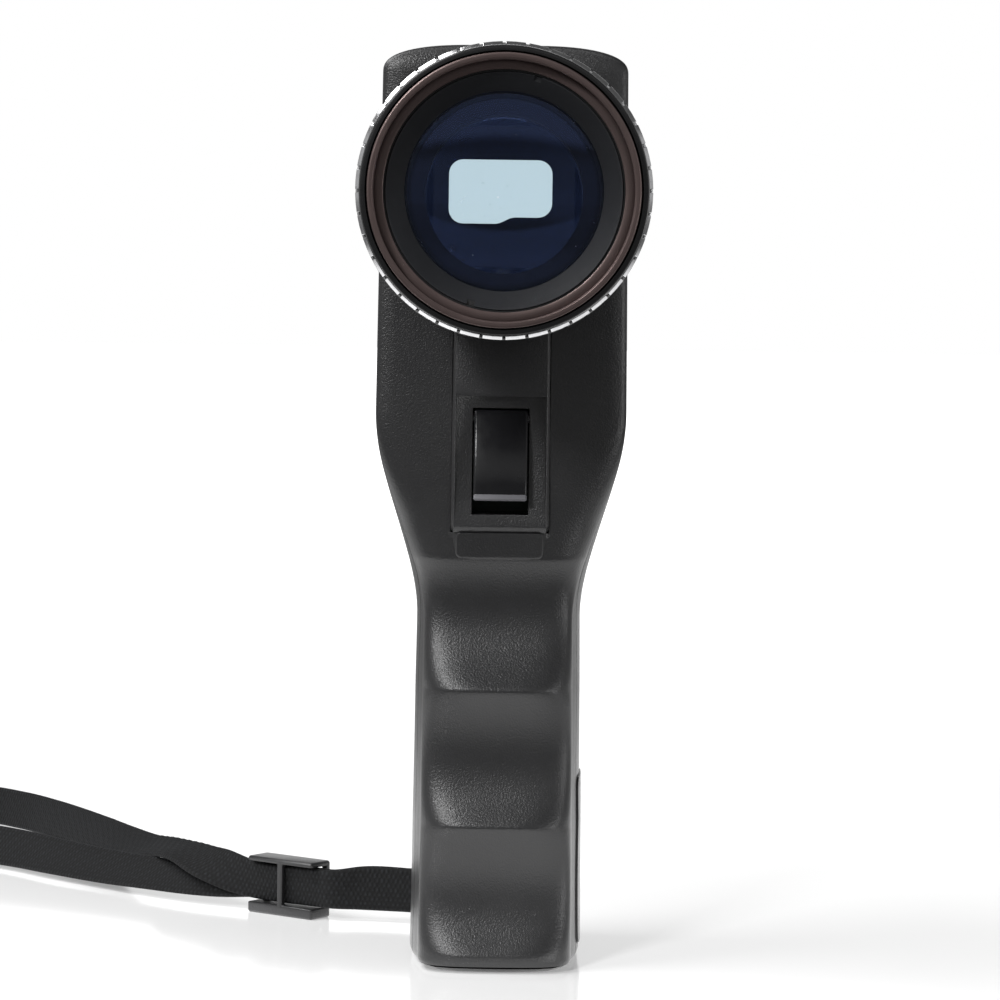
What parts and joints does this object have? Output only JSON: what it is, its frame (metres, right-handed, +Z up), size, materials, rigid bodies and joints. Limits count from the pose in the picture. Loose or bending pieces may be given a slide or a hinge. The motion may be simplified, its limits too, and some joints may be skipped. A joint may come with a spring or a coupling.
{
  "type": "spot exposure meter",
  "caption": "Hand-held spot exposure meter: narrow box with a knurled lens barrel, grooved pistol grip, rocker trigger, eyepiece and woven wrist strap.",
  "frame": {"origin": "centre of the body's box on the surface that it stands on, without the strap", "axes": "+Z up, -Y the way the lens looks, +X to the right of a viewer who faces the lens"},
  "size_m": [0.1525, 0.206, 0.1525],
  "materials": {
    "body_black": "satin black, fine moulded grain",
    "gloss_black": "polished black moulding",
    "inner_black": "matt black moulding",
    "ring_black": "black anodised and turned",
    "ring_brown": "brown-black anodised and turned",
    "matt_black": "matt black paint",
    "coated_glass": "blue coated optical glass",
    "clear_glass": "clear optical glass",
    "steel": "ground steel",
    "nickel": "nickel plated",
    "black_steel": "blackened steel",
    "laminate": "green glass-fibre laminate",
    "rubber": "soft black rubber",
    "webbing": "woven black webbing",
    "cell": "plain grey battery can",
    "display": "dark red display window"
  },
  "bodies": {
    "body": {"main_housing": "body_black", "rear_cover": "body_black", "grip_back": "body_black", "base_plate": "body_black", "barrel_tube": "ring_black", "barrel_nut": "ring_black", "index_collar": "ring_black", "filter_ring": "ring_brown", "lens_retaining_ring": "matt_black", "front_lens": "coated_glass", "rear_lens": "clear_glass", "aperture_stop": "inner_black", "scale_sleeve": "ring_black", "trigger_housing": "body_black", "trigger_pin": "steel", "trigger_spring": "steel", "microswitch": "inner_black", "circuit_board": "laminate", "control_chip": "inner_black", "finder_chassis": "inner_black", "field_mask": "matt_black", "roof_prism": "clear_glass", "beam_splitter": "clear_glass", "photo_sensor": "nickel", "display_module": "display", "eyepiece_tube": "inner_black", "battery": "cell", "battery_contact_plate": "nickel", "battery_contact_spring": "nickel", "battery_cradle": "inner_black", "rear_cover_screw_1": "black_steel", "rear_cover_screw_2": "black_steel", "rear_cover_screw_3": "black_steel", "rear_cover_screw_4": "black_steel", "grip_screw_1": "black_steel", "grip_screw_2": "black_steel", "base_screw_1": "black_steel", "base_screw_2": "black_steel", "lug_screw_1": "black_steel", "lug_screw_2": "black_steel", "strap_lug": "black_steel", "strap_pin": "steel", "strap_pin_loop": "webbing", "wrist_strap": "webbing", "strap_slider": "gloss_black"},
    "trigger": {"trigger": "gloss_black"},
    "plunger": {"microswitch_plunger": "nickel"},
    "exposure_ring": {"exposure_ring": "ring_black"},
    "speed_ring": {"speed_ring": "ring_black"},
    "dioptre": {"dioptre_ring": "gloss_black", "eyepiece_lens": "clear_glass", "eyecup": "rubber"},
    "battery_door": {"battery_door": "body_black"}
  },
  "joints": [
    {"name": "trigger_pivot", "type": "hinge", "parent": "body", "child": "trigger", "pos_m": [0, -0.0114, 0.0915], "axis": [1, 0, 0], "range_deg": [0, 5], "stiffness_Nm_per_rad": 0.05, "deforming": ["trigger_spring"]},
    {"name": "plunger_slide", "type": "slide", "parent": "body", "child": "plunger", "axis": [0, 1, 0], "range_m": [0, 0.0009]},
    {"name": "exposure_ring_turn", "type": "hinge", "parent": "body", "child": "exposure_ring", "pos_m": [0, -0.052, 0.1278], "axis": [0, 1, 0], "continuous": true},
    {"name": "speed_ring_turn", "type": "hinge", "parent": "exposure_ring", "child": "speed_ring", "pos_m": [0, -0.04, 0.1278], "axis": [0, 1, 0], "range_deg": [-72, 108]},
    {"name": "dioptre_turn", "type": "hinge", "parent": "body", "child": "dioptre", "pos_m": [0, 0.048, 0.1278], "axis": [0, 1, 0], "range_deg": [-100, 100]},
    {"name": "battery_door_lift", "type": "slide", "parent": "body", "child": "battery_door", "axis": [1, 0, 0], "range_m": [0, 0.016]}
  ],
  "couplings": [
    {"joint": "plunger_slide", "follows": "trigger_pivot", "m_per_rad": 0.0088}
  ]
}
